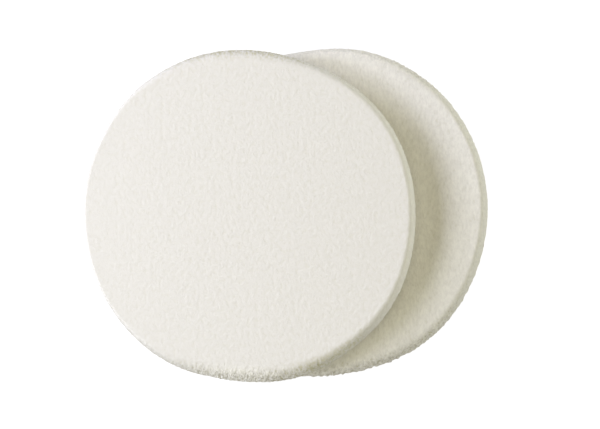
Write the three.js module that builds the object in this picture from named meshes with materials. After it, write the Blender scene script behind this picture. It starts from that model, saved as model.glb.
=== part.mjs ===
// Round makeup sponges: two alike die-cut discs of fine soft foam, one lying on the other.
// Millimetres, +Z up. X runs along the line between the two discs' centres, and the origin is
// under the middle of the stack, on the surface that it lies on.
import * as THREE from "three";

// Driving dimensions
const discDiameter = 60; // across the widest line of the cut edge
const discThickness = 8;
const edgeBulge = 0.55; // how far the cut edge swells out between its two rims
const rimWidth = 1.3; // rounded rim, inwards from the cut edge
const rimHeight = 1.1; // rounded rim, down from the face
const stackShift = 12.4; // between the two discs' centres
const restGap = 0.3; // between the faces that lie on each other

// Counts of the steps that each round shape is drawn in
const turnSteps = 72;
const rimSteps = 5;
const edgeSteps = 6; // even, so that one step ends at the widest line

// The half section of a disc, from the axis at its lower face to the axis at its upper face.
function discSection() {
  const edgeRadius = discDiameter / 2 - edgeBulge;
  const faceRadius = edgeRadius - rimWidth;
  const upperRimStart = discThickness - rimHeight;
  const quarterTurn = Math.PI / 2;
  const lowerRim = new THREE.EllipseCurve(faceRadius, rimHeight, rimWidth, rimHeight, -quarterTurn, 0);
  const cutEdge = new THREE.QuadraticBezierCurve(
    new THREE.Vector2(edgeRadius, rimHeight),
    new THREE.Vector2(edgeRadius + 2 * edgeBulge, discThickness / 2),
    new THREE.Vector2(edgeRadius, upperRimStart),
  );
  const upperRim = new THREE.EllipseCurve(faceRadius, upperRimStart, rimWidth, rimHeight, 0, quarterTurn);
  return [
    new THREE.Vector2(0, 0),
    ...lowerRim.getPoints(rimSteps),
    ...cutEdge.getPoints(edgeSteps).slice(1),
    ...upperRim.getPoints(rimSteps).slice(1),
    new THREE.Vector2(0, discThickness),
  ];
}

// Warm white foam with no gloss.
function foamMaterial() {
  return new THREE.MeshStandardMaterial({ color: 0xf3f1ea, roughness: 0.95, metalness: 0 });
}

// One sponge, a single piece of foam, with its lower face at the given height.
function makeSponge(name, centreX, lowerFace) {
  const shape = new THREE.LatheGeometry(discSection(), turnSteps);
  shape.rotateX(Math.PI / 2);
  const sponge = new THREE.Mesh(shape, foamMaterial());
  sponge.name = name;
  sponge.position.set(centreX, 0, lowerFace);
  return sponge;
}

const sponges = new THREE.Group();
sponges.add(makeSponge("rear_sponge", stackShift / 2, 0));
sponges.add(makeSponge("front_sponge", -stackShift / 2, discThickness + restGap));

export default sponges;
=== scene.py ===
"""Looks of two round make-up sponges, die-cut discs of fine soft foam, one lying on the other.

Metres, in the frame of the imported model: +Z up, and +X from the upper sponge towards the lower one.
Bearings, and angles round a sponge, are in degrees anticlockwise from the picture's right.
"""

import math

import bpy
import numpy as np
from mathutils import Matrix, Vector, noise


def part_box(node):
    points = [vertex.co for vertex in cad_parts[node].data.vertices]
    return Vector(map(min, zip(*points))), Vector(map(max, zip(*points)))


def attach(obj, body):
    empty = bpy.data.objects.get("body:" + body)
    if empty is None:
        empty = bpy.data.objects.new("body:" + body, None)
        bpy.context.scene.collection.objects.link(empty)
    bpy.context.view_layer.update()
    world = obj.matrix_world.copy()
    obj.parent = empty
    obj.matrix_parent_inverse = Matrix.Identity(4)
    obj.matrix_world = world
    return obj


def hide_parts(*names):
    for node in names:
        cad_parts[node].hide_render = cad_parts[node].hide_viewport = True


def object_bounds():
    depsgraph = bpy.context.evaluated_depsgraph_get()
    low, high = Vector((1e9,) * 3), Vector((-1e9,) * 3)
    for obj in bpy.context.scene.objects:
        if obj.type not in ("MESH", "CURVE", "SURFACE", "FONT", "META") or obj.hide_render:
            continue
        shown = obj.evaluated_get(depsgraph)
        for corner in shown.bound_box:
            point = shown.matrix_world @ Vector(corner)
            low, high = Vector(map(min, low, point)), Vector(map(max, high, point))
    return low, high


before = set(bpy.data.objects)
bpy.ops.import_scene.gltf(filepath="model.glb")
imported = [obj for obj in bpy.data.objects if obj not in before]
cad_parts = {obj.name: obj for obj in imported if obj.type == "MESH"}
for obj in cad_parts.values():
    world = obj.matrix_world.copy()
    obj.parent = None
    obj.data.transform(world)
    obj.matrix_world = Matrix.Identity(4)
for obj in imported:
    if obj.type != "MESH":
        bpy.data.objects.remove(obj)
CAD_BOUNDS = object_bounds()

MM = 0.001

# The photograph's view
CAMERA_DISTANCE = 800 * MM
CAMERA_TILT = math.radians(5.5)  # away from square to the faces
TILT_DIRECTION = math.radians(-45)  # in the picture, from its right: towards the lower right
ROLL = math.radians(7)  # +X runs this much upwards across the picture
PHOTO_WIDTH = 600
PHOTO_HEIGHT = 429
PIXELS_PER_MM = 5.545
STACK_CENTRE_PIXEL = (286.8, 212.6)
SENSOR_WIDTH = 36 * MM
NEAREST_SEEN = 10 * MM
FURTHEST_SEEN = 20000 * MM

# Lamps: name, bearing, elevation, distance, size, power in watts and colour. Those named for the
# window together stand for one broad window at the left.
WINDOW_COLOUR = (0.985, 1.01, 1.195)
NEAR_END_COLOUR = (0.985, 1.03, 0.93)
CEILING_COLOUR = (1.065, 1.01, 0.7)
CARD_COLOUR = (0.965, 1.01, 0.92)
LAMPS = (
    ("window_low", 150, 30, 450 * MM, 150 * MM, 0.366, WINDOW_COLOUR),
    ("window_broad", 150, 38, 450 * MM, 320 * MM, 0.629, WINDOW_COLOUR),
    ("window_middle", 180, 42, 450 * MM, 150 * MM, 0.165, WINDOW_COLOUR),
    ("window_high", 190, 54, 450 * MM, 150 * MM, 0.58, WINDOW_COLOUR),
    ("window_near_end", 225, 35, 450 * MM, 150 * MM, 0.33, NEAR_END_COLOUR),
    ("ceiling", 0, 88, 500 * MM, 300 * MM, 0.434, CEILING_COLOUR),
    ("white_card", 12, 12, 500 * MM, 200 * MM, 0.77, CARD_COLOUR),
)
FILL_COLOUR = (1.0, 0.87, 0.57, 1)
FILL_STRENGTH = 0.142
WHITE = (1, 1, 1, 1)

# The table, which the camera sees as white but for the stack's shadow
TABLE_SIZE = 4000 * MM
TABLE_DROP = 0.02 * MM
TABLE_COLOUR = (0.8, 0.8, 0.79, 1)
TABLE_WHITE_SHARE = 0.86
TABLE_WHITE_STRENGTH = 1.16

# Both sponges' shape. The foam's grain runs up and down the picture.
GRAIN_ANGLE = -ROLL  # from +X to the picture's right
FACE_RINGS = 88  # rings of quads from the middle of a face to its rounded edge
RIM_STEPS = 9
EDGE_STEPS = 20  # down the cut edge, from rim to rim; even
RIM_LEFT = 0.35 * MM  # radius of the rounded rim at the picture's left
RIM_RIGHT = 0.8 * MM
RIM_TOP = 2.0 * MM
RIM_BOTTOM = 2.6 * MM
SWELL_LEFT = 0.35 * MM  # how far the cut edge swells out below the rim, likewise
SWELL_TOP = 0.45 * MM
TOP_POWER = 2  # the greater, the sooner the top's sizes give way to those of the sides
BOTTOM_POWER = 3
EDGE_ZONE = 2.2 * MM  # rim and swell together
SQUARENESS_SHARE = 0.0105  # of the radius, which the outline gains on its diagonals
DIAGONALS = 4  # to a turn
CONTACT_GAP = 0.02 * MM
FACE_RELIEF = 0.03 * MM
FACE_WAVE = 0.75 * MM
EDGE_RELIEF = 0.34 * MM
EDGE_WAVE = 0.42 * MM
EDGE_DRAWN_SHARE = 0.3  # of the way down the edge that its relief counts, so that it's drawn out
SEED_SHIFTS = (17.3, 5.1, 9.7)  # of the noise along X, Y and Z for each step of the seed
EDGE_SEED_STEP = 3
SLOPE_ROUNDS = 4  # of nearing the slope at which the rim meets the cut edge

# Both sponges' foam. Its colours, from its pores and its painted shade, olive like its shadows, to the
# tips of its fibres and its painted light: how light it is painted against plain foam, and the share of
# red, green and blue light that its surface sends back.
FOAM_COLOURS_BY_PAINTED_LIGHT = ((0.6, (0.48, 0.45, 0.22)), (0.86, (0.69, 0.665, 0.52)), (1.0, (0.81, 0.79, 0.745)),
              (1.25, (0.975, 0.955, 0.89)))
FOAM_ROUGHNESS = 0.95
FOAM_SPECULAR = 0.2
FOAM_SHEEN = 0.05
NOISE_DETAIL = 2.0
NOISE_ROUGHNESS = 0.6
NOISE_HOLLOW = 0.3  # noise from 0 to 1, of which this and less is a hollow
NOISE_TOP = 0.7  # and this and more is a top
LEFT_GRAIN_SHARE = 0.68  # of the grain, which is left at the picture's left
LEFT_REACH_SHARE = 0.4  # of the radius: beyond it, towards the left, the grain gets weaker
CUT_WIDTH = 0.45 * MM  # fibres and pores of the cut edge, which run down it
CUT_LENGTH = 1.0 * MM
CUT_DEPTH = 0.4 * MM
CUT_SHADE = 0.3  # share of the light that the deepest pores lose as painted shade, and the fibres' tips gain as painted light
# Painted shade on the cut edge below its rim, by angle: it is painted darker where it faces the window
PAINTED_WALL_SHADE_SHARES = ((-180, 0.88), (-140, 0.89), (-100, 1.0), (100, 1.0), (140, 0.89), (180, 0.88))

# What differs between the two. A wobble is a wave that puts the outline out of round: how many to a
# turn, share of the radius, and phase in radians. The shares round the edge go by angle: how far it
# bulges, of the radius, how rough its outline is, how strongly its fibres and pores show, and how
# light its foam is painted there, as painted light and painted shade. The face share is how much
# lighter its faces are painted.
FRONT = {
    "name": "front_foam",
    "cad_node": "front_sponge",
    "seed": 2,
    "swell_right": 0.52 * MM,
    "swell_bottom": 0.65 * MM,
    "grain_width": 0.74 * MM,
    "grain_length": 0.88 * MM,
    "grain_depth": 0.15 * MM,
    "grain_shade": 0.026,
    "face_painted_light_share": 1.0,
    "wobbles": ((0, -0.0036, 0), (1, 0.0087, -3.03), (2, 0.0054, 1.4), (3, 0.0072, 0.13),
                (4, 0.0038, 0.08), (5, 0.0046, -2.82)),
    "bulge_shares": ((-180, 0.003), (-172, 0.002), (-164, 0.005), (-150, 0.006), (-140, 0.002), (-130, 0),
                     (-120, 0), (-112, -0.003), (-104, -0.006), (-97, 0.001), (-90, 0.01), (-86, 0.018),
                     (-80, 0.025), (-75, 0.028), (-70, 0.026), (-62, 0.017), (-54, 0.005), (-46, 0),
                     (124, 0), (132, 0.006), (140, 0.005), (150, 0), (165, 0.002), (180, 0.003)),
    "rough_shares": ((-180, 0.13), (-140, 0.16), (-100, 0.5), (-60, 0.55), (0, 0.3), (60, 0.4), (95, 0.45),
                     (124, 0.33), (150, 0.2), (180, 0.13)),
    "cut_shares": ((-180, 0.05), (-130, 0.2), (-115, 0.6), (-98, 1.3), (-82, 1.4), (-65, 0.6), (-40, 0.2),
                   (0, 0.05), (60, 0.15), (80, 0.8), (98, 0.8), (115, 0.3), (140, 0.1), (180, 0.05)),
    "painted_light_shares": ((-130, 1.02), (-112, 1.08), (-98, 1.34), (-87, 1.3), (-76, 1.09), (-66, 0.91),
                    (-50, 0.96), (-38, 1.07), (-20, 1.14), (55, 1.14), (75, 0.98), (92, 0.93), (110, 0.94),
                    (130, 1.0)),
}
REAR = {
    "name": "rear_foam",
    "cad_node": "rear_sponge",
    "seed": 1,
    "swell_right": 0.76 * MM,
    "swell_bottom": 0.45 * MM,
    "grain_width": 0.43 * MM,
    "grain_length": 0.9 * MM,
    "grain_depth": 0.1 * MM,
    "grain_shade": 0.085,
    "face_painted_light_share": 1.05,
    "wobbles": ((1, 0.0026, 1.22), (2, 0.0053, 0.15), (3, 0.0023, 2.92), (4, 0.0011, -2.6),
                (5, 0.0061, -0.2)),
    "bulge_shares": ((-125, 0), (-100, 0.028), (-95, 0.027), (-91, 0.022), (-87, 0.016), (-82, 0.006),
                     (-77, 0.001), (-70, -0.006), (-63, -0.006), (-52, -0.004), (-44, 0), (42, 0),
                     (54, -0.005), (66, -0.003), (78, -0.001), (87, -0.008), (95, -0.013), (102, -0.014),
                     (120, 0)),
    "rough_shares": ((-180, 0.1), (-75, 1.0), (-50, 0.8), (-30, 0.5), (-10, 0.25), (5, 0.2), (30, 0.3),
                     (65, 0.7), (90, 0.45), (180, 0.1)),
    "cut_shares": ((-80, 1.0), (-60, 0.9), (-45, 0.8), (-35, 0.3), (0, 0.15), (50, 0.3), (75, 0.5),
                   (95, 0.4)),
    "painted_light_shares": ((-75, 1.14), (-50, 1.09), (-37, 1.07), (-10, 1.09), (20, 1.12), (45, 1.17)),
}


def grid_directions(rings):
    """Square grid of (2 * rings + 1) points a side, laid on the unit disc: its radii and angles."""
    line = np.linspace(-1.0, 1.0, 2 * rings + 1)
    a, b = np.meshgrid(line, line, indexing="ij")
    radius = np.maximum(np.abs(a), np.abs(b))
    safe_a = np.where(a == 0, 1, a)
    safe_b = np.where(b == 0, 1, b)
    side = math.pi / 4 * b / safe_a
    top = math.pi / 2 - math.pi / 4 * a / safe_b
    wide = np.abs(a) >= np.abs(b)
    angle = np.where(wide, np.where(a < 0, side + math.pi, side), np.where(b < 0, top + math.pi, top))
    return radius.ravel(), angle.ravel()


def border_order(side):
    """Numbers of the grid's border points, in one turn that starts at angle zero."""
    last = side - 1
    places = [(last, j) for j in range(side // 2, side)]
    places += [(i, last) for i in range(last - 1, -1, -1)]
    places += [(0, j) for j in range(last - 1, -1, -1)]
    places += [(i, 0) for i in range(1, side)]
    places += [(last, j) for j in range(1, side // 2)]
    return np.array([i * side + j for i, j in places])


def round_edge(angle, shares):
    """A share that changes round the cut edge, from a table by angle in the picture."""
    local = np.degrees(np.angle(np.exp(1j * (angle - GRAIN_ANGLE))))
    degrees, values = zip(*shares)
    return np.interp(local, degrees, values)


def outline_radius(angle, radius, sponge):
    """Distance from the axis to the cut edge, with the slight out-of-round of a punched disc."""
    local = angle - GRAIN_ANGLE
    squareness = -SQUARENESS_SHARE * np.cos(DIAGONALS * local)
    share = 1 + squareness + round_edge(angle, sponge["bulge_shares"])
    for turns, wobble_share, phase in sponge["wobbles"]:
        share = share + wobble_share * np.cos(turns * local + phase)
    return radius * share


def by_side(angle, left_value, right_value, top_value, bottom_value):
    """A size that differs at the picture's left, right, top and bottom."""
    across = np.cos(angle - GRAIN_ANGLE)
    upwards = np.sin(angle - GRAIN_ANGLE)
    side_value = np.where(across < 0, left_value, right_value)
    end_value = np.where(upwards < 0, bottom_value, top_value)
    end_share = (1 - across * across) ** np.where(upwards < 0, BOTTOM_POWER, TOP_POWER)
    return side_value * (1 - end_share) + end_value * end_share


def half_section(rim, swell, half_height):
    """Points from a face's flat part, round the rim and down the swollen cut edge to its middle.

    Each is the distance gone outwards and the depth gone, for a rim radius and a swell that may be
    arrays. The edge leaves the rim at the slope that the rim has there.
    """
    slope = np.arctan2(half_height, 2 * swell)
    for _ in range(SLOPE_ROUNDS):
        slope = np.arctan2(half_height - rim * (1 - np.cos(slope)), 2 * swell)
    corner_out = rim * np.sin(slope)
    corner_down = rim * (1 - np.cos(slope))
    rows = []
    for i in range(1, RIM_STEPS + 1):
        turn = slope * i / RIM_STEPS
        rows.append((rim * np.sin(turn), rim * (1 - np.cos(turn))))
    half_steps = EDGE_STEPS // 2
    for i in range(1, half_steps + 1):
        share = i / half_steps
        out = corner_out + swell * (1 - (1 - share) ** 2)
        rows.append((out, corner_down + (half_height - corner_down) * share))
    return rows


def polar_points(reach, angle, height):
    """Points at the given distances from the axis, angles and heights."""
    return np.column_stack([reach * np.cos(angle), reach * np.sin(angle), height * np.ones_like(reach)])


def sponge_quads(side, border, ring_count):
    """Quads of the two square grids and of the bands from ring to ring, as point numbers."""
    upper_count = side * side
    ring_size = len(border)
    lower_start = upper_count + ring_size * ring_count
    quads = []
    for i in range(side - 1):
        for j in range(side - 1):
            upper = i * side + j
            quads.append((upper, upper + side, upper + side + 1, upper + 1))
            lower = lower_start + upper
            quads.append((lower, lower + 1, lower + side + 1, lower + side))
    loops = [border]
    loops += [upper_count + ring_size * k + np.arange(ring_size) for k in range(ring_count)]
    loops.append(lower_start + border)
    for upper_loop, lower_loop in zip(loops, loops[1:]):
        corners = (upper_loop, lower_loop, np.roll(lower_loop, -1), np.roll(upper_loop, -1))
        quads.extend(zip(*(corner.tolist() for corner in corners)))
    return quads


def noise_at(points, wave, seed):
    """Smooth noise from -1 to 1 at each point, with bumps about one wave across."""
    scaled = points / wave + seed * np.array(SEED_SHIFTS)
    return np.array([noise.noise(Vector(p)) for p in scaled])


def eased(share):
    """A share that rises smoothly from 0 to 1, and stays there beyond its ends."""
    held = np.clip(share, 0, 1)
    return held * held * (3 - 2 * held)


def add_relief(points, sponge, radius, top, bottom):
    """The foam's fine relief: even on the faces, and drawn out down the cut edge."""
    reach = np.hypot(points[:, 0], points[:, 1])
    outward = points[:, :2] / np.maximum(reach, MM)[:, None]
    edge_share = eased((reach - (radius - EDGE_ZONE)) / EDGE_ZONE)
    face_noise = noise_at(points, FACE_WAVE, sponge["seed"])
    drawn = np.column_stack([outward * radius, points[:, 2] * EDGE_DRAWN_SHARE])
    edge_noise = noise_at(drawn, EDGE_WAVE, sponge["seed"] + EDGE_SEED_STEP)
    moved = points.copy()
    inward = np.where(points[:, 2] > (top + bottom) / 2, -1.0, 1.0)
    moved[:, 2] += inward * FACE_RELIEF * (1 - face_noise) / 2 * (1 - edge_share)
    turn = np.arctan2(points[:, 1], points[:, 0])
    push = EDGE_RELIEF * edge_noise * edge_share * round_edge(turn, sponge["rough_shares"])
    moved[:, :2] += outward * push[:, None]
    return moved


def store(mesh, name, kind, values):
    """Keep a value or vector for each point, for the foam's material."""
    field = "vector" if kind == "FLOAT_VECTOR" else "value"
    mesh.attributes.new(name, kind, "POINT").data.foreach_set(field, np.ravel(values))


def sponge_points(sponge, low, high, border):
    """A sponge's points about its axis, before the relief: the upper face's, the rings' and the lower's."""
    radius = (high.x - low.x) / 2
    half_height = (high.z - low.z) / 2
    grid_radius, grid_angle = grid_directions(FACE_RINGS)
    outline = outline_radius(grid_angle, radius, sponge)
    rim = by_side(grid_angle, RIM_LEFT, RIM_RIGHT, RIM_TOP, RIM_BOTTOM)
    swell = by_side(grid_angle, SWELL_LEFT, sponge["swell_right"], SWELL_TOP, sponge["swell_bottom"])
    flat = outline - half_section(rim, swell, half_height)[-1][0]
    upper_half = half_section(rim[border], swell[border], half_height)
    section = [(out, high.z - depth) for out, depth in upper_half]
    section += [(out, low.z + depth) for out, depth in reversed(upper_half[:-1])]
    rings = [polar_points(flat[border] + out, grid_angle[border], height) for out, height in section]
    upper = polar_points(grid_radius * flat, grid_angle, high.z)
    lower = polar_points(grid_radius * flat, grid_angle, low.z)
    return upper, rings, lower


def rims_below(face_size, ring_size, ring_count):
    """How far each point lies down from the nearer face: 0 on it, 1 at its rim's foot, and on."""
    ring_number = np.arange(1, ring_count + 1)
    rings_down = np.repeat(np.minimum(ring_number, ring_number[::-1]), ring_size)
    face = np.zeros(face_size)
    return np.concatenate([face, rings_down / RIM_STEPS, face])


def store_foam(mesh, sponge, points, rims_down, radius, top):
    """Keep what the foam's material needs at each point, from the points before the relief."""
    turn = np.arctan2(points[:, 1], points[:, 0])
    reach = np.hypot(points[:, 0], points[:, 1])
    cut_share = np.clip(rims_down, 0, 1)
    wall_share = np.clip(rims_down - 1, 0, 1)
    # Painted light and painted shade: the rim and cut edge painted lighter or darker by angle, its foot
    # darker on the window's side, and the rear's faces painted lighter.
    face_painted_light = sponge["face_painted_light_share"]
    painted_light = face_painted_light + cut_share * (round_edge(turn, sponge["painted_light_shares"]) - face_painted_light)
    painted_light = painted_light * (1 + wall_share * (round_edge(turn, PAINTED_WALL_SHADE_SHARES) - 1))
    picture_x = reach * np.cos(turn - GRAIN_ANGLE)
    grain = np.interp(picture_x / radius, (-1, -LEFT_REACH_SHARE), (LEFT_GRAIN_SHARE, 1))
    down_edge = polar_points(radius * np.ones_like(turn), turn, reach + top - points[:, 2])
    store(mesh, "cut", "FLOAT", cut_share * round_edge(turn, sponge["cut_shares"]))
    store(mesh, "painted_light", "FLOAT", painted_light)
    store(mesh, "grain", "FLOAT", grain)
    store(mesh, "down_edge", "FLOAT_VECTOR", down_edge)


def sponge_mesh(sponge, low, high):
    """One sponge as a closed mesh: two faces laid out as square grids, and rings down the edge."""
    radius = (high.x - low.x) / 2
    side = 2 * FACE_RINGS + 1
    border = border_order(side)
    upper, rings, lower = sponge_points(sponge, low, high, border)
    points = np.concatenate([upper] + rings + [lower])
    moved = add_relief(points, sponge, radius, high.z, low.z)
    moved[:, 0] += (low.x + high.x) / 2
    moved[:, 1] += (low.y + high.y) / 2
    mesh = bpy.data.meshes.new(sponge["name"])
    mesh.from_pydata(moved.tolist(), [], sponge_quads(side, border, len(rings)))
    mesh.shade_smooth()
    rims_down = rims_below(len(upper), len(border), len(rings))
    store_foam(mesh, sponge, points, rims_down, radius, high.z)
    return mesh


def new_tree(block):
    block.use_nodes = True
    block.node_tree.nodes.clear()
    return block.node_tree


def fill_socket(tree, socket, value):
    if isinstance(value, bpy.types.NodeSocket):
        tree.links.new(value, socket)
    else:
        socket.default_value = value


def node(tree, kind, settings=None, **inputs):
    """A shader node with its settings, and its sockets set or linked by name."""
    made = tree.nodes.new(kind)
    for key, value in (settings or {}).items():
        setattr(made, key, value)
    for key, value in inputs.items():
        fill_socket(tree, made.inputs[key.replace("_", " ")], value)
    return made


def maths(tree, operation, first, second):
    made = node(tree, "ShaderNodeMath", {"operation": operation})
    for socket, value in zip(made.inputs, (first, second)):
        fill_socket(tree, socket, value)
    return made.outputs["Value"]


def pick_shader(tree, share, first, second):
    mixed = node(tree, "ShaderNodeMixShader")
    for socket, value in zip(mixed.inputs, (share, first, second)):
        fill_socket(tree, socket, value)
    return mixed.outputs["Shader"]


def stored(tree, name, output="Fac"):
    return node(tree, "ShaderNodeAttribute", {"attribute_name": name}).outputs[output]


def foam_noise(tree, place, turn, cell):
    """Noise from 0 to 1 with cells of the given size, turned about the upright axis."""
    mapped = node(tree, "ShaderNodeMapping", {"vector_type": "TEXTURE"}, Vector=place,
                  Rotation=(0, 0, turn), Scale=cell)
    made = node(tree, "ShaderNodeTexNoise", Vector=mapped.outputs["Vector"], Scale=1.0,
                Detail=NOISE_DETAIL, Roughness=NOISE_ROUGHNESS)
    return made.outputs["Fac"]


def shade(tree, height, most):
    """Painted shade in the noise's hollows and painted light on its tops, as a share from -most to most."""
    made = node(tree, "ShaderNodeMapRange", Value=height, From_Min=NOISE_HOLLOW, From_Max=NOISE_TOP,
                To_Min=-most, To_Max=most)
    return made.outputs["Result"]


def foam_colour_by_painted_light(tree, light):
    """The foam's colour where it is painted lighter or darker than usual by a share, as painted light and
    painted shade.
    """
    shares, colours = zip(*FOAM_COLOURS_BY_PAINTED_LIGHT)
    place = node(tree, "ShaderNodeMapRange", Value=light, From_Min=shares[0], From_Max=shares[-1])
    ramp = node(tree, "ShaderNodeValToRGB", Fac=place.outputs["Result"])
    stops = ramp.color_ramp.elements
    while len(stops) < len(shares):
        stops.new(1.0)
    for stop, share, colour in zip(stops, shares, colours):
        stop.position = (share - shares[0]) / (shares[-1] - shares[0])
        stop.color = (*colour, 1)
    return ramp.outputs["Color"]


def foam_material(sponge):
    """Warm white foam: a fine relief that varies its colour at random, darker in its hollows as painted
    shade and lighter on its tops as painted light, fibres and pores on the cut edge, and painted light and
    shade on the rim and cut edge by angle.
    """
    material = bpy.data.materials.new(sponge["name"])
    tree = new_tree(material)
    place = node(tree, "ShaderNodeTexCoord").outputs["Object"]
    width = sponge["grain_width"]
    grain = foam_noise(tree, place, GRAIN_ANGLE, (width, sponge["grain_length"], width))
    fibres = foam_noise(tree, stored(tree, "down_edge", "Vector"), 0, (CUT_WIDTH, CUT_WIDTH, CUT_LENGTH))
    grain_share = stored(tree, "grain")
    cut = stored(tree, "cut")
    fine = node(tree, "ShaderNodeBump", Strength=grain_share, Distance=sponge["grain_depth"], Height=grain)
    rough = node(tree, "ShaderNodeBump", Strength=cut, Distance=CUT_DEPTH, Height=fibres,
                 Normal=fine.outputs["Normal"])
    # Painted shade in the hollows and painted light on the tops of the grain and of the cut edge's fibres,
    # over the foam's colour, which varies at random with the grain.
    grain_shade = maths(tree, "MULTIPLY", grain_share, shade(tree, grain, sponge["grain_shade"]))
    cut_shade = maths(tree, "MULTIPLY", cut, shade(tree, fibres, CUT_SHADE))
    light = maths(tree, "ADD", 1.0, maths(tree, "ADD", grain_shade, cut_shade))
    colour = foam_colour_by_painted_light(tree, maths(tree, "MULTIPLY", light, stored(tree, "painted_light")))
    foam = node(tree, "ShaderNodeBsdfPrincipled", Base_Color=colour, Roughness=FOAM_ROUGHNESS,
                Specular_IOR_Level=FOAM_SPECULAR, Sheen_Weight=FOAM_SHEEN, Normal=rough.outputs["Normal"])
    node(tree, "ShaderNodeOutputMaterial", Surface=foam.outputs["BSDF"])
    return material


def make_sponge(sponge, bottom):
    """One sponge, from the given height up to its CAD solid's top."""
    low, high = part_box(sponge["cad_node"])
    low.z = bottom
    piece = bpy.data.objects.new(sponge["name"], sponge_mesh(sponge, low, high))
    bpy.context.scene.collection.objects.link(piece)
    piece.data.materials.append(foam_material(sponge))
    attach(piece, sponge["cad_node"])
    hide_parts(sponge["cad_node"])


def seen_directly(tree):
    """1 for rays that carry the plain white background: the camera's, mirrored and transmitted ones."""
    path = node(tree, "ShaderNodeLightPath")
    seen = maths(tree, "MAXIMUM", path.outputs["Is Camera Ray"], path.outputs["Is Glossy Ray"])
    return maths(tree, "MAXIMUM", seen, path.outputs["Is Transmission Ray"])


def make_world():
    world = bpy.data.worlds.new("studio")
    tree = new_tree(world)
    fill = node(tree, "ShaderNodeBackground", Color=FILL_COLOUR, Strength=FILL_STRENGTH)
    white = node(tree, "ShaderNodeBackground", Color=WHITE, Strength=1.0)
    picked = pick_shader(tree, seen_directly(tree), fill.outputs["Background"], white.outputs["Background"])
    node(tree, "ShaderNodeOutputWorld", Surface=picked)
    bpy.context.scene.world = world


def make_table():
    reach = TABLE_SIZE / 2
    corners = [(-reach, -reach, 0), (reach, -reach, 0), (reach, reach, 0), (-reach, reach, 0)]
    mesh = bpy.data.meshes.new("table")
    mesh.from_pydata(corners, [], [(0, 1, 2, 3)])
    table = bpy.data.objects.new("table", mesh)
    table.location.z = -TABLE_DROP
    bpy.context.scene.collection.objects.link(table)
    material = bpy.data.materials.new("pale_table")
    tree = new_tree(material)
    plain = node(tree, "ShaderNodeBsdfDiffuse", Color=TABLE_COLOUR)
    white = node(tree, "ShaderNodeEmission", Color=WHITE, Strength=TABLE_WHITE_STRENGTH)
    share = maths(tree, "MULTIPLY", seen_directly(tree), TABLE_WHITE_SHARE)
    picked = pick_shader(tree, share, plain.outputs["BSDF"], white.outputs["Emission"])
    node(tree, "ShaderNodeOutputMaterial", Surface=picked)
    mesh.materials.append(material)


def in_picture(across, upwards):
    """A direction in the row frame, from one in the picture of a camera square to the faces."""
    right = Vector((math.cos(ROLL), -math.sin(ROLL), 0))
    up = Vector((math.sin(ROLL), math.cos(ROLL), 0))
    return right * across + up * upwards


def make_lamp(middle, name, bearing, elevation, distance, size, power, colour):
    """A round soft lamp aimed at the stack's middle."""
    turn = math.radians(bearing)
    rise = math.radians(elevation)
    direction = in_picture(math.cos(turn), math.sin(turn)) * math.cos(rise) + Vector((0, 0, math.sin(rise)))
    data = bpy.data.lights.new(name, "AREA")
    data.shape = "DISK"
    data.size = size
    data.energy = power
    data.color = colour
    lamp = bpy.data.objects.new(name, data)
    lamp.location = middle + direction * distance
    lamp.rotation_mode = "QUATERNION"
    lamp.rotation_quaternion = direction.to_track_quat("Z", "Y")
    lamp.visible_camera = False
    bpy.context.scene.collection.objects.link(lamp)


def make_camera(middle):
    lean = in_picture(math.cos(TILT_DIRECTION), math.sin(TILT_DIRECTION))
    back = Vector((0, 0, 1)) * math.cos(CAMERA_TILT) + lean * math.sin(CAMERA_TILT)
    side = in_picture(0, 1).cross(back).normalized()
    top = back.cross(side).normalized()
    data = bpy.data.cameras.new("camera")
    data.sensor_width = SENSOR_WIDTH / MM
    data.lens = data.sensor_width * CAMERA_DISTANCE * PIXELS_PER_MM / (PHOTO_WIDTH * MM)
    data.clip_start = NEAREST_SEEN
    data.clip_end = FURTHEST_SEEN
    across = (PHOTO_WIDTH / 2 - STACK_CENTRE_PIXEL[0]) / PIXELS_PER_MM * MM
    upwards = (STACK_CENTRE_PIXEL[1] - PHOTO_HEIGHT / 2) / PIXELS_PER_MM * MM
    place = middle + back * CAMERA_DISTANCE + side * across + top * upwards
    camera = bpy.data.objects.new("camera", data)
    camera.matrix_world = Matrix.Translation(place) @ Matrix((side, top, back)).transposed().to_4x4()
    bpy.context.scene.collection.objects.link(camera)
    bpy.context.scene.camera = camera


rear_low, rear_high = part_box(REAR["cad_node"])
make_sponge(REAR, rear_low.z)
make_sponge(FRONT, rear_high.z + CONTACT_GAP)
make_world()
make_table()
stack_middle = (CAD_BOUNDS[0] + CAD_BOUNDS[1]) / 2
make_camera(stack_middle)
for lamp in LAMPS:
    make_lamp(stack_middle, *lamp)
bpy.context.scene.view_settings.view_transform = "Standard"
